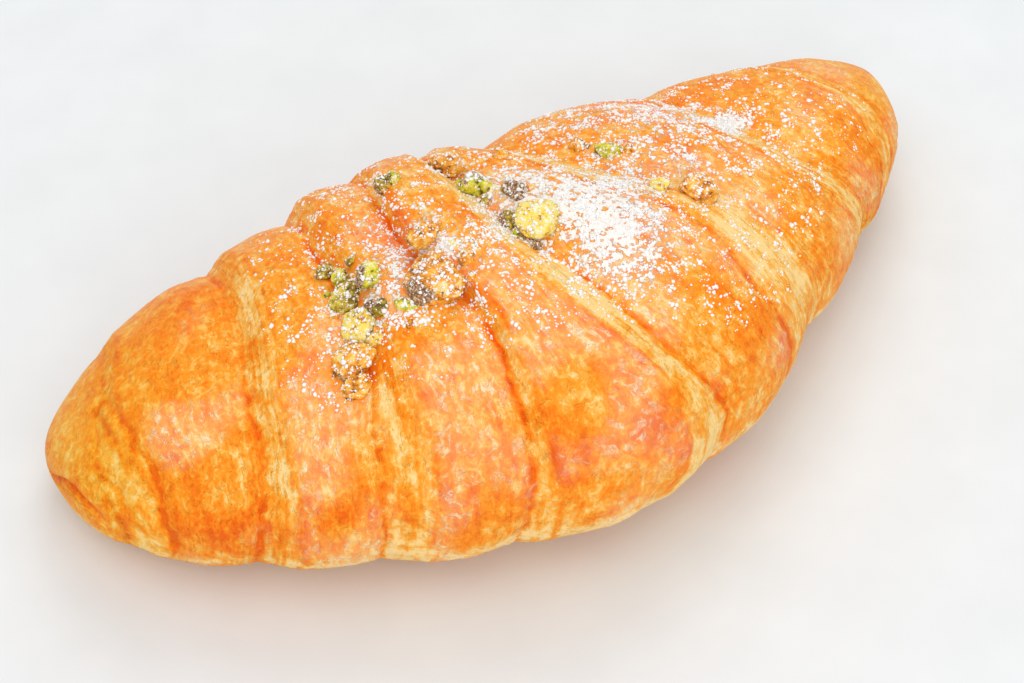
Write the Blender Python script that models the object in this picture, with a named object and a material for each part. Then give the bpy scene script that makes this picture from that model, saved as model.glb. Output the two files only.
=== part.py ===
"""A large pistachio croissant, baked, with chopped pistachio chips on its crown.

The crust is one loft along a bent spine. Its sections are flat-bottomed rounds, square to the spine, and its surface
drops in a step at each edge of the rolled dough. The chips are low lumps sunk into the crust and joined to it, so
the whole croissant is one closed solid resting on its flat underside.
"""

import math
import random

import bmesh
import bpy
from mathutils import Vector, noise

# Driving sizes, in millimetres; the model itself is in metres.
MM = 0.001
LENGTH = 170.0
HALF = LENGTH / 2
HEIGHT_RATIO = 0.60
LEFT_TIP_RATIO = 0.62
RIGHT_TIP_RATIO = 0.66
LEFT_TIP_LIFT = 2.0
RIGHT_TIP_LIFT = 8.0
TIP_START = 0.85
TOP_ROUND = 2.1
UNDER_ROUND = 2.6

# Half width and backward bend of the spine at stations along the length.
STATIONS_AT = (-85, -70, -50, -25, 0, 25, 50, 70, 85)
HALF_WIDTH = (11.8, 22.6, 30.5, 37.1, 36.7, 31.7, 23.4, 16.3, 6.5)
SPINE_BEND = (24.0, 14.8, 7.1, 1.3, -2.3, 6.3, 14.6, 22.2, 30.5)
# Each section is turned square to the spine's run over this much length on either side.
TURN_REACH = 12.0

# Edges of the rolled dough, by their distance along the length at these angles round the section: 0 is the crown,
# 90 the front, -90 the back and 180 the underside. The lip is the crisp upper edge of a wrap and the foot is the
# line where its cut face meets the next wrap out. Each step is highest over the crown.
EDGES_AT = (-90, -40, -10, 20, 50, 90)
EDGES = (
    # step height at the back, crown and front, lip, foot
    ((0.8, 1.2, 1.0), (-77.0, -75.0, -73.2, -71.6, -68.2, -66.0), (-79.6, -77.4, -75.4, -75.2, -74.8, -71.4)),
    ((1.8, 2.2, 1.2), (-56.0, -52.6, -49.0, -49.1, -48.7, -49.8), (-59.5, -56.8, -54.4, -53.9, -53.0, -54.8)),
    ((3.0, 2.4, 1.0), (-38.5, -36.9, -34.6, -31.2, -30.2, -31.8), (-43.5, -40.6, -38.7, -36.0, -37.9, -38.8)),
    ((0.5, 2.6, 1.4), (-27.5, -25.0, -24.6, -16.6, -15.0, -14.2), (-30.5, -27.3, -26.4, -18.9, -17.2, -17.8)),
    ((0.6, 2.2, 1.8), (-18.6, -17.4, -15.2, -8.0, -2.0, -1.0), (-15.5, -14.4, -9.2, -2.8, 0.8, 5.0)),
    ((1.2, 2.2, 1.5), (2.0, 3.9, 7.8, 15.6, 15.6, 17.2), (9.5, 11.6, 15.4, 26.0, 29.8, 33.0)),
    ((1.2, 1.7, 1.0), (36.5, 37.2, 37.0, 40.8, 46.6, 49.4), (42.0, 42.4, 43.0, 46.0, 51.2, 54.6)),
    ((0.5, 0.9, 0.5), (58.0, 61.0, 63.0, 65.0, 63.0, 60.0), (64.0, 66.4, 68.2, 70.2, 68.8, 66.0)),
)
STEPS_AT = (-180, -90, -10, 30, 90, 180)
LEFT_EDGES = 4

# Surface between the edges.
PILLOW = 0.07
WRINKLE = 0.45
WRINKLE_SIZE = 13.0
RELIEF_ENDS = 150
RELIEF_FULL = 105

# Loft resolution: columns across a cut face, along a wrap (one per so many millimetres) and over each tip.
FACE_COLUMNS = 3
WRAP_COLUMN = 3.6
TIP_COLUMNS = 7
ROWS = 60

# The open end of the roll at the left tip: a furrow from the tip's nose to under its front.
ROLL_GAP_DEPTH = 1.8
ROLL_GAP_HALF_WIDTH = 1.6
ROLL_GAP_AT = (-83, -80, -76, -72, -67)
ROLL_GAP_ANGLE = (90, 72, 80, 93, 102)

# Pistachio chips: distance along the length, angle round the section, length, width, height above the crust, turn.
CHIPS = (
    (-38.8, -7, 3.6, 3.0, 1.9, 20),
    (-36.9, -2, 3.4, 2.8, 1.8, 70),
    (-36.6, 4, 6.2, 5.2, 2.4, 10),
    (-32.8, 4, 5.2, 4.0, 2.8, 60),
    (-36.2, 14, 7.0, 5.4, 2.6, 80),
    (-33.2, 12, 3.8, 3.0, 1.8, 140),
    (-34.8, 20, 3.0, 2.4, 1.4, 0),
    (-38.4, 26, 7.6, 5.8, 3.0, 5),
    (-38.8, 33, 4.6, 3.6, 2.2, 30),
    (-25.2, -26, 3.4, 2.8, 1.8, 45),
    (-23.4, -27, 3.0, 2.4, 1.6, 100),
    (-22.8, -2, 5.4, 4.2, 2.2, 25),
    (-22.8, 11, 11.0, 9.4, 4.6, 40),
    (-17.8, 7, 3.4, 2.6, 1.8, 75),
    (-28.8, 14, 4.0, 2.8, 1.4, 160),
    (-11.8, -34, 7.4, 5.2, 2.8, 150),
    (-9.6, -20, 6.2, 5.2, 2.6, 35),
    (2.8, -29, 3.8, 3.0, 1.8, 90),
    (-3.8, -12, 5.0, 4.0, 2.2, 120),
    (-1.0, -11, 2.8, 2.2, 1.4, 10),
    (-8.4, -4, 3.8, 3.2, 2.0, 55),
    (-4.6, -1, 8.6, 7.2, 4.0, 50),
    (17.4, -21, 4.2, 3.4, 2.0, 65),
    (19.2, -12, 4.8, 3.8, 2.2, 130),
    (21.6, -8, 3.0, 2.6, 1.8, 0),
    (18.2, 8, 3.8, 3.2, 1.8, 95),
    (21.9, 17, 7.0, 6.0, 2.8, 15),
)
CHIP_SINK = 0.5
CHIP_ROUGHNESS = 0.16


def blend(at, values, x):
    """Smooth value at x through the values given at the rising places in `at`."""
    last = len(at) - 1
    i = 0
    while i < last - 1 and x > at[i + 1]:
        i += 1
    rise = [(values[k + 1] - values[k]) / (at[k + 1] - at[k]) for k in range(last)]

    def slope(k):
        if k == 0:
            return rise[0]
        if k == last:
            return rise[-1]
        return (rise[k - 1] + rise[k]) / 2

    span = at[i + 1] - at[i]
    t = min(max((x - at[i]) / span, 0.0), 1.0)
    start = values[i] * (1 + 2 * t) * (1 - t) ** 2 + values[i + 1] * t * t * (3 - 2 * t)
    return start + span * (slope(i) * t * (1 - t) ** 2 - slope(i + 1) * t * t * (1 - t))


def ease(t):
    t = min(max(t, 0.0), 1.0)
    return t * t * (3 - 2 * t)


def edge_at(values, angle):
    """Place of a dough edge at an angle round the section; both ends meet under the croissant."""
    under = (values[0] + values[-1]) / 2
    at = (EDGES_AT[-1] - 360,) + (-180,) + EDGES_AT + (180,) + (EDGES_AT[0] + 360,)
    ring = (values[-1], under) + values + (under, values[0])
    return blend(at, ring, angle)


def step_at(heights, angle):
    """Height of a dough edge's step at an angle round the section."""
    back, crown, front = heights
    return blend(STEPS_AT, (back, back, crown, crown, front, front), angle)


def lines_at(angle):
    """The places along the length, left to right, of every foot and lip, each with its share of step height."""
    lines = []
    for k, (heights, lip, foot) in enumerate(EDGES):
        step = step_at(heights, angle)
        pair = [(edge_at(foot, angle), -step / 2), (edge_at(lip, angle), step / 2)]
        if k >= LEFT_EDGES:
            pair.reverse()
        lines += pair
    return lines


def relief_share(angle):
    return 1 - ease((abs(angle) - RELIEF_FULL) / (RELIEF_ENDS - RELIEF_FULL))


def roll_gap(x, angle):
    """Depth of the furrow at the left tip's open roll."""
    if x > ROLL_GAP_AT[-1]:
        return 0.0
    middle = blend(ROLL_GAP_AT, ROLL_GAP_ANGLE, x)
    across = math.radians(angle - middle) * blend(STATIONS_AT, HALF_WIDTH, x) / ROLL_GAP_HALF_WIDTH
    along = ease((ROLL_GAP_AT[-1] - x) / 5)
    return ROLL_GAP_DEPTH * along * math.exp(-across * across)


def surface(x, angle, relief=0.0):
    """Point on the crust, in millimetres, before it is moved onto its origin."""
    share = abs(x) / HALF
    left = x < 0
    half_width = blend(STATIONS_AT, HALF_WIDTH, x)
    tip_ratio = LEFT_TIP_RATIO if left else RIGHT_TIP_RATIO
    height = 2 * half_width * (HEIGHT_RATIO + (tip_ratio - HEIGHT_RATIO) * share**3)
    middle = (LEFT_TIP_LIFT if left else RIGHT_TIP_LIFT) * share**3 + 0.46 * height
    tip = math.sqrt(1 - min(max((share - TIP_START) / (1 - TIP_START), 0), 1) ** 2.4)
    c, s = math.cos(math.radians(angle)), math.sin(math.radians(angle))
    power = 2 / (TOP_ROUND if c > 0 else UNDER_ROUND)
    across = half_width * tip * math.copysign(abs(s) ** power, s)
    above = height * tip * (0.54 if c > 0 else 0.50) * math.copysign(abs(c) ** power, c)
    reach = math.hypot(across, above)
    grow = 1 + relief / reach if reach > 1e-6 else 1.0
    behind, ahead = max(x - TURN_REACH, -HALF), min(x + TURN_REACH, HALF)
    bend = (blend(STATIONS_AT, SPINE_BEND, ahead) - blend(STATIONS_AT, SPINE_BEND, behind)) / (ahead - behind)
    square = math.hypot(1, bend)
    return Vector(
        (
            x + across * grow * bend / square,
            blend(STATIONS_AT, SPINE_BEND, x) - across * grow / square,
            max(middle + above * grow, 0.0),
        )
    )


def relief_at(x, angle, base):
    """Relief on the smooth body: the stepped base height, plus soft wrinkles, less the roll gap."""
    p = surface(x, angle)
    wrinkle = WRINKLE * noise.noise(p / WRINKLE_SIZE) + 0.5 * WRINKLE * noise.noise(p * 2.3 / WRINKLE_SIZE)
    fade = min((HALF - abs(x)) / 6, 1.0)
    return base * relief_share(angle) + wrinkle * fade - roll_gap(x, angle)


def column_plan():
    """Columns as (index of the line on their left, share of the way to the next line)."""
    lines = lines_at(0)
    plan = []
    for k in range(len(lines) - 1):
        gap = lines[k + 1][0] - lines[k][0]
        is_face = k % 2 == 0
        n = FACE_COLUMNS if is_face else max(3, round(gap / WRAP_COLUMN))
        plan += [(k, i / n) for i in range(n)]
    return plan + [(len(lines) - 2, 1.0)]


def column_point(k, t, angle, lines):
    x0, h0 = lines[k]
    x1, h1 = lines[k + 1]
    x = x0 + (x1 - x0) * t
    if k % 2 == 0:
        base = h0 + (h1 - h0) * ease(t)
    else:
        base = h0 + (h1 - h0) * t + PILLOW * (x1 - x0) * math.sin(math.pi * t)
    return surface(x, angle, relief_at(x, angle, base))


def tip_point(side, t, angle, lines):
    """Point on a tip, t running from 0 at the outermost foot to 1 at the nose."""
    x0, h0 = lines[0] if side < 0 else lines[-1]
    x = x0 + (side * HALF - x0) * math.sin(t * math.pi / 2)
    return surface(x, angle, relief_at(x, angle, h0 * (1 - t)))


def loft_crust(name):
    mesh = bpy.data.meshes.new(name)
    bm = bmesh.new()
    angles = [-180 + 360 * j / ROWS for j in range(ROWS)]
    plan = column_plan()
    rings = []
    row_lines = [lines_at(a) for a in angles]
    for i in range(TIP_COLUMNS - 1, 0, -1):
        rings.append([tip_point(-1, i / TIP_COLUMNS, a, row) for a, row in zip(angles, row_lines)])
    for k, t in plan:
        rings.append([column_point(k, t, a, row) for a, row in zip(angles, row_lines)])
    for i in range(1, TIP_COLUMNS):
        rings.append([tip_point(1, i / TIP_COLUMNS, a, row) for a, row in zip(angles, row_lines)])
    rings = [[bm.verts.new(p * MM) for p in ring] for ring in rings]
    for near, far in zip(rings, rings[1:]):
        for j in range(ROWS):
            j2 = (j + 1) % ROWS
            bm.faces.new((near[j], far[j], far[j2], near[j2]))
    for side, ring in ((-1, rings[0]), (1, rings[-1])):
        nose = bm.verts.new(surface(side * HALF, 0) * MM)
        for j in range(ROWS):
            a, b = ring[j], ring[(j + 1) % ROWS]
            bm.faces.new((nose, a, b) if side < 0 else (nose, b, a))
    bmesh.ops.triangulate(bm, faces=bm.faces[:])
    bmesh.ops.recalc_face_normals(bm, faces=bm.faces[:])
    bm.to_mesh(mesh)
    bm.free()
    crust = bpy.data.objects.new(name, mesh)
    bpy.context.scene.collection.objects.link(crust)
    return crust


def base_height(x, angle):
    """Stepped base height at any place, found between the two lines beside it."""
    lines = lines_at(angle)
    for k in range(len(lines) - 1):
        x0, h0 = lines[k]
        x1, h1 = lines[k + 1]
        if x0 <= x <= x1:
            t = (x - x0) / (x1 - x0)
            return h0 + (h1 - h0) * (ease(t) if k % 2 == 0 else t)
    return 0.0


def make_chip(index, x, angle, long, wide, high, turn, into):
    """A chopped nut: a jittered icosphere squashed to size and laid on the crust."""
    rng = random.Random(index)
    bm = bmesh.new()
    detail = 2 if long > 4 else 1
    bmesh.ops.create_icosphere(bm, subdivisions=detail, radius=1.0)
    for v in bm.verts:
        v.co *= 1 + CHIP_ROUGHNESS * (2 * rng.random() - 1)
    here = surface(x, angle, relief_at(x, angle, base_height(x, angle)))
    along = surface(x + 1.5, angle) - surface(x - 1.5, angle)
    round_it = surface(x, angle + 3) - surface(x, angle - 3)
    normal = round_it.cross(along).normalized()
    if normal.z < 0:
        normal.negate()
    along.normalize()
    side = normal.cross(along)
    turn = math.radians(turn)
    ahead = along * math.cos(turn) + side * math.sin(turn)
    aside = normal.cross(ahead)
    rise = (high + CHIP_SINK * 2) / 2
    middle = here + normal * (high - rise)
    for v in bm.verts:
        u, w, z = v.co
        v.co = (middle + ahead * u * long / 2 + aside * w * wide / 2 + normal * z * rise) * MM
    bmesh.ops.recalc_face_normals(bm, faces=bm.faces[:])
    mesh = bpy.data.meshes.new("chip")
    bm.to_mesh(mesh)
    bm.free()
    chip = bpy.data.objects.new("chip", mesh)
    into.objects.link(chip)
    return chip


def fuse(crust, chips):
    """Join every chip in the collection to the crust in one union, then remove the chips."""
    union = crust.modifiers.new("fuse", "BOOLEAN")
    union.operation = "UNION"
    union.operand_type = "COLLECTION"
    union.collection = chips
    union.solver = "EXACT"
    depsgraph = bpy.context.evaluated_depsgraph_get()
    fused = bpy.data.meshes.new_from_object(crust.evaluated_get(depsgraph))
    crust.modifiers.clear()
    old = crust.data
    crust.data = fused
    bpy.data.meshes.remove(old)
    for chip in list(chips.objects):
        bpy.data.objects.remove(chip, do_unlink=True)
    bpy.data.collections.remove(chips)


def clean(mesh):
    """Triangulate the union and drop any loose scrap or sealed hollow, keeping the largest surface."""
    bm = bmesh.new()
    bm.from_mesh(mesh)
    bmesh.ops.triangulate(bm, faces=bm.faces[:])
    seen = set()
    bodies = []
    for start in bm.verts:
        if start in seen:
            continue
        body = [start]
        seen.add(start)
        for v in body:
            for e in v.link_edges:
                other = e.other_vert(v)
                if other not in seen:
                    seen.add(other)
                    body.append(other)
        bodies.append(body)
    bodies.sort(key=len, reverse=True)
    for body in bodies[1:]:
        bmesh.ops.delete(bm, geom=body, context="VERTS")
    bmesh.ops.recalc_face_normals(bm, faces=bm.faces[:])
    bm.to_mesh(mesh)
    bm.free()


def set_on_origin(mesh):
    """Move the mesh so the bottom centre of its bounding box is the origin."""
    xs = [v.co.x for v in mesh.vertices]
    ys = [v.co.y for v in mesh.vertices]
    zs = [v.co.z for v in mesh.vertices]
    middle = Vector(((min(xs) + max(xs)) / 2, (min(ys) + max(ys)) / 2, min(zs)))
    for v in mesh.vertices:
        v.co -= middle


def baked_crust():
    material = bpy.data.materials.new("baked_crust")
    material.use_nodes = True
    shader = material.node_tree.nodes["Principled BSDF"]
    shader.inputs["Base Color"].default_value = (0.72, 0.30, 0.07, 1.0)
    shader.inputs["Roughness"].default_value = 0.38
    return material


def main():
    for old in list(bpy.data.objects):
        bpy.data.objects.remove(old, do_unlink=True)
    crust = loft_crust("croissant")
    chips = bpy.data.collections.new("chips")
    bpy.context.scene.collection.children.link(chips)
    for index, (x, angle, long, wide, high, turn) in enumerate(CHIPS):
        make_chip(index, x, angle, long, wide, high, turn, chips)
    fuse(crust, chips)
    clean(crust.data)
    set_on_origin(crust.data)
    crust.data.polygons.foreach_set("use_smooth", [True] * len(crust.data.polygons))
    crust.data.materials.clear()
    crust.data.materials.append(baked_crust())


main()
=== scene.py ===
"""Looks of the pistachio croissant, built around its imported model.

The crust stands for the model's croissant: the same loft, drawn finely, with layered faces between the wraps,
a blistered egg-washed skin and an open roll end. Chopped pistachios lie where the model has its chips, and
powdered sugar lies on both. Sizes are in millimetres and angles in degrees; the meshes are in metres.
"""

import math

import bmesh
import bpy
import numpy as np
from mathutils import Matrix, Vector, noise


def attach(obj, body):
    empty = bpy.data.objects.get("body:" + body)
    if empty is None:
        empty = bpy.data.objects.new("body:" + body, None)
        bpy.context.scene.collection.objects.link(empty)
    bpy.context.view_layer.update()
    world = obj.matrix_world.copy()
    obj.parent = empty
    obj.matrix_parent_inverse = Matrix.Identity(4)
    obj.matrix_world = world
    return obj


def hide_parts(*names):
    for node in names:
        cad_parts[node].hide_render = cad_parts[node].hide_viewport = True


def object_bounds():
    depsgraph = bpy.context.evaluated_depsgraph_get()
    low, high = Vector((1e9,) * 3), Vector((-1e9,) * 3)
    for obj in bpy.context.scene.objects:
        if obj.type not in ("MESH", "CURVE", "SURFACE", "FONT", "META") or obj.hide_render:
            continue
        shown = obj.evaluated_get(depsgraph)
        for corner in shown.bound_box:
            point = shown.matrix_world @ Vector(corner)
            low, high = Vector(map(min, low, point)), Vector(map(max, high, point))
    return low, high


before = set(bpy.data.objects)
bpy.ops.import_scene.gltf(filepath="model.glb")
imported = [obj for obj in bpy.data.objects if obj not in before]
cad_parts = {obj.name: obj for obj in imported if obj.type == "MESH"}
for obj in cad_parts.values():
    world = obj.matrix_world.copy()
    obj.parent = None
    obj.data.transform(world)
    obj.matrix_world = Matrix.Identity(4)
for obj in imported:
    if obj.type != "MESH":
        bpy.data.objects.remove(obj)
cad_box = [list(corner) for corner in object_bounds()]

MM = 0.001
# Where the model's origin lies in the loft's own coordinates.
ORIGIN = np.array((-0.7065, -1.3622, 0.0))

# The loft, with the model's own sizes. Angles round a section: 0 is the crown, 90 the front, -90 the back.
LENGTH = 170.0
HALF = LENGTH / 2
HEIGHT_RATIO = 0.60
LEFT_TIP_RATIO = 0.62
RIGHT_TIP_RATIO = 0.66
LEFT_TIP_LIFT = 2.0
RIGHT_TIP_LIFT = 8.0
TIP_START = 0.85
TIP_POWER = 2.4
TOP_ROUND = 2.1
UNDER_ROUND = 2.6
MIDDLE_AT = 0.46
UPPER_SHARE = 0.54
LOWER_SHARE = 0.50
STATIONS_AT = (-85, -70, -50, -25, 0, 25, 50, 70, 85)
HALF_WIDTH = (11.8, 22.6, 30.5, 37.1, 36.7, 31.7, 23.4, 16.3, 6.5)
SPINE_BEND = (24.0, 14.8, 7.1, 1.3, -2.3, 6.3, 14.6, 22.2, 30.5)
TURN_REACH = 12.0

# Edges of the rolled dough, as in the model.
EDGES_AT = (-90, -40, -10, 20, 50, 90)
EDGES = (
    # step height at the back, crown and front, lip, foot
    ((0.8, 1.2, 1.0), (-77.0, -75.0, -73.2, -71.6, -68.2, -66.0), (-79.6, -77.4, -75.4, -75.2, -74.8, -71.4)),
    ((1.8, 2.2, 1.2), (-56.0, -52.6, -49.0, -49.1, -48.7, -49.8), (-59.5, -56.8, -54.4, -53.9, -53.0, -54.8)),
    ((3.0, 2.4, 1.0), (-38.5, -36.9, -34.6, -31.2, -30.2, -31.8), (-43.5, -40.6, -38.7, -36.0, -37.9, -38.8)),
    ((0.5, 2.6, 1.4), (-27.5, -25.0, -24.6, -16.6, -15.0, -14.2), (-30.5, -27.3, -26.4, -18.9, -17.2, -17.8)),
    ((0.6, 2.2, 1.8), (-18.6, -17.4, -15.2, -8.0, -2.0, -1.0), (-15.5, -14.4, -9.2, -2.8, 0.8, 5.0)),
    ((1.2, 2.2, 1.5), (2.0, 3.9, 7.8, 15.6, 15.6, 17.2), (9.5, 11.6, 15.4, 26.0, 29.8, 33.0)),
    ((1.2, 1.7, 1.0), (36.5, 37.2, 37.0, 40.8, 46.6, 49.4), (42.0, 42.4, 43.0, 46.0, 51.2, 54.6)),
    ((0.5, 0.9, 0.5), (58.0, 61.0, 63.0, 65.0, 63.0, 60.0), (64.0, 66.4, 68.2, 70.2, 68.8, 66.0)),
)
STEPS_AT = (-180, -90, -10, 30, 90, 180)
LEFT_EDGES = 4
PILLOW = 0.07
WRINKLE = 0.45
WRINKLE_SIZE = 13.0
FINER_WRINKLES = 2.3
RELIEF_ENDS = 150
RELIEF_FULL = 105
ROLL_GAP_DEPTH = 1.6
ROLL_GAP_HALF_WIDTH = 1.0
ROLL_GAP_AT = (-83, -80, -76, -72, -67)
ROLL_GAP_ANGLE = (90, 72, 80, 93, 102)

# How finely the crust is drawn: columns over a cut face, along a wrap and over a tip, and rows round.
FACE_COLUMNS = 15
WRAP_SPACING = 0.52
TIP_COLUMNS = 34
ROWS = 280
ROWS_CROWDED_AT = 30
ROWS_CROWDING = 20

# Fine relief of the crust, over a skin drawn just under the model's.
SKIN_DROP = 0.15
TIP_FADE = 6.0
# Lines of the edges: how far they wander, over how many degrees, then how their strength changes.
WOBBLE = 0.55
WOBBLE_TURNS = (13, 4)
LINE_TURNS = (9, 3)
LINE_CHANGE = 1.2
LINE_MIDDLE = 0.9
LINE_LIMITS = (0.2, 1.6)
# How far apart two lines lie in the noise, so that each wanders on its own.
LINES_APART = 7.3
# Heights, depths and widths of the forms.
RIM_HEIGHT = 0.22
RIM_WIDTH = 0.7
GROOVE_DEPTH = 0.40
LINE_WIDTH = 0.50
STRAND_HEIGHT = 0.22
BLISTER_HEIGHT = 0.22
CURL_HEIGHT = 0.12
# How dark the line along each edge's lip and foot is, how pale its cut face stayed, and how far the layers of
# a face run on over the wraps beside it. A lip's line is caramelised dough; a foot's line is partly caramel
# and partly painted shade in the groove at the foot.
LIP_LINES = (0.30, 0.45, 0.35, 0.60, 0.25, 0.95, 0.50, 0.40)
FOOT_LINES = (0.60, 0.80, 1.00, 0.90, 0.85, 0.10, 0.15, 0.30)
PALE_FACES = (
    # at the back, crown and front
    (0.06, 0.10, 0.12),
    (0.10, 0.15, 0.20),
    (0.00, 0.04, 0.22),
    (0.00, 0.06, 0.16),
    (0.20, 0.38, 0.38),
    (0.20, 0.30, 0.28),
    (0.14, 0.22, 0.22),
    (0.10, 0.20, 0.20),
)
LAYER_REACH = 6.0
LAYERS_LEAST = 0.3
LAYERS_GROW = (10, 50)
# The patterns of the crust: strands and curls by their size across and along, then swirls, ridges and the
# spread of painted sheen.
STRAND_RADIUS = 30.0
STRANDS = (1.1, 13.0)
FINE_STRANDS = (0.55, 8.0)
CURLS = (1.0, 2.6)
CURL_SWIRL = 1.9
SWIRL_SIZE = 4.0
SWIRL_REACH = 2.2
RIDGE_SIZE = 3.6
RIDGE_SHARPNESS = 4.0
SHINE_SIZE = 11.0
# How common curls and painted sheen are, how sharply they end, and the share of curls where no sheen is
# painted.
CURL_LEVEL = 0.2
CURL_CONTRAST = 2.6
SHINE_LEVEL = 0.18
SHINE_CONTRAST = 1.5
SHINE_LOST_AT_LINES = 1.6
DULL_CURLS = 0.35

# Creases folded into the left tip: depth, how much darker they are drawn, then places and angles along each.
CREASES = (
    (0.55, 0.34, ((-74, 10), (-72, 20), (-70, 32), (-69, 40), (-67, 46), (-66, 60), (-66, 76), (-65, 94))),
    (0.40, 0.26, ((-76, 14), (-74, 24), (-72, 36))),
    (0.50, 0.34, ((-74, 56), (-72, 62), (-71, 74))),
    (0.30, 0.20, ((-64, 44), (-62, 58), (-61, 74))),
)
CREASE_WIDTH = 0.55
CREASE_DARK_WIDTH = 0.77
CREASE_WANDER = 0.5
# The open roll end and the torn layers below it: where they begin, then the layers' middle and reach.
TORN_FROM = -73.0
TORN_FADE = 4.0
TORN_AT = 2.0
TORN_REACH = 1.6
TORN_SPACING = 0.9
TORN_WANDER = 0.5
TORN_HEIGHT = 0.20

# How dark the dough is drawn, from 0 to 1, its baked brown with painted shade and painted sheen in it:
# everywhere, in patches (strength, size, shift), in bands along the croissant or round it (middle, reach,
# strength), and at single forms.
BROWN = 0.48
BROWN_PATCHES = ((0.16, 12.0, 40), (0.16, 5.0, 60), (0.17, 2.2, 80))
BROWN_UNDER = 0.34
BROWN_LEFT = (-62, 12, 0.07)
# Darker and redder low on the front, which turns from the light: painted shade.
PAINTED_SHADE_LOW_FRONT = (84, 22, 0.10)
PALE_SEAM = (107, 7, 0.36)
# Darker along every line: caramel at the lips, painted shade in the grooves at the feet.
BROWN_AND_SHADE_LINES = 0.36
BROWN_STREAKS = 0.34
# Darker in the open roll end: painted shade inside the opening.
PAINTED_SHADE_IN_GAP = 0.80
# Paler on blisters and curls: partly the raised skin's own paler colour, partly painted sheen, since they lie
# mostly where sheen is painted.
PALE_BLISTERS = 0.20
PALE_CURLS = 0.14
PALE_TORN = 0.34
UNDER_FROM = 122
UNDER_FADE = 16

# Yellower dough: where it starts and how far it takes to be full, at each tip, then its strengths.
GOLD_TIPS = ((-60, -18), (64, 14))
GOLD_AT_TIPS = 0.85
GOLD_ON_FACES = 0.60

# Spots of painted sheen, a pale highlight tint with blisters under it, and spots with less of it, as (place,
# angle, reach, reach in angle, strength).
PAINTED_SHEEN_SPOTS = (
    (-46, 50, 6, 15, 0.9),
    (-10, 32, 9, 14, 0.8),
    (-28, 52, 7, 26, 0.9),
    (-12, 70, 8, 14, 0.4),
    (-64, 34, 4, 14, 0.7),
    (-76, 0, 12, 60, -0.6),
    (-58, -10, 10, 26, -0.5),
    (2, 38, 7, 12, 0.6),
    (30, 20, 8, 16, 0.5),
    (28, 42, 9, 20, 0.45),
)
# Darker baked spots and paler ones, given the same way; one is painted shade and two are partly painted
# sheen.
BROWN_SHADE_AND_SHEEN_SPOTS = (
    (-58, 82, 6, 10, 0.26),
    (-43, 74, 6, 8, 0.26),
    (-5, 66, 6, 6, 0.14),
    (12, 58, 5, 9, 0.18),
    # painted shade in a crease at an edge's foot
    (-26, -8, 2.5, 14, 0.40),
    (-16, 70, 5, 7, 0.12),
    (40, -26, 16, 12, 0.14),
    (57, 50, 6, 16, 0.18),
    (-4, 58, 3.5, 22, 0.22),
    (-44, 24, 4, 12, 0.16),
    (-24, 76, 8, 7, 0.16),
    # these two paler spots are partly painted sheen
    (28, 38, 10, 24, -0.10),
    (52, 64, 10, 20, -0.14),
    (8, 92, 12, 9, -0.16),
    (-10, -22, 14, 12, -0.12),
    (-72, -12, 9, 24, 0.14),
)

# Chopped pistachios: kind, then as in the model the distance along, angle, length, width, height above the
# crust and turn.
NUTS = (
    ("skin", -38.8, -7, 3.6, 3.0, 1.9, 20),
    ("green", -36.9, -2, 3.4, 2.8, 1.8, 70),
    ("skin", -36.6, 4, 6.2, 5.2, 2.4, 10),
    ("green", -32.8, 4, 5.2, 4.0, 2.8, 60),
    ("yellow", -36.2, 14, 7.0, 5.4, 2.6, 80),
    ("skin", -33.2, 12, 3.8, 3.0, 1.8, 140),
    ("yellow", -34.8, 20, 3.0, 2.4, 1.4, 0),
    ("toasted", -38.4, 26, 7.6, 5.8, 3.0, 5),
    ("toasted", -38.8, 33, 4.6, 3.6, 2.2, 30),
    ("skin", -25.2, -26, 3.4, 2.8, 1.8, 45),
    ("green", -23.4, -27, 3.0, 2.4, 1.6, 100),
    ("toasted", -22.8, -2, 5.4, 4.2, 2.2, 25),
    ("toasted", -22.8, 11, 10.4, 10.4, 4.6, 40),
    ("toasted", -17.8, 7, 3.4, 2.6, 1.8, 75),
    ("green", -28.8, 14, 4.0, 2.8, 1.4, 160),
    ("toasted", -11.8, -34, 7.4, 5.2, 2.8, 150),
    ("green", -9.6, -20, 6.2, 5.2, 2.6, 35),
    ("toasted", 2.8, -29, 3.8, 3.0, 1.8, 90),
    ("skin", -3.8, -12, 5.0, 4.0, 2.2, 120),
    ("toasted", -1.0, -11, 2.8, 2.2, 1.4, 10),
    ("skin", -8.4, -4, 3.8, 3.2, 2.0, 55),
    ("yellow", -4.6, -1, 8.6, 7.2, 4.0, 50),
    ("toasted", 17.4, -21, 4.2, 3.4, 2.0, 65),
    ("green", 19.2, -12, 4.8, 3.8, 2.2, 130),
    ("toasted", 21.6, -8, 3.0, 2.6, 1.8, 0),
    ("yellow", 18.2, 8, 3.8, 3.2, 1.8, 95),
    ("toasted", 21.9, 17, 7.0, 6.0, 2.8, 15),
)
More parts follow.
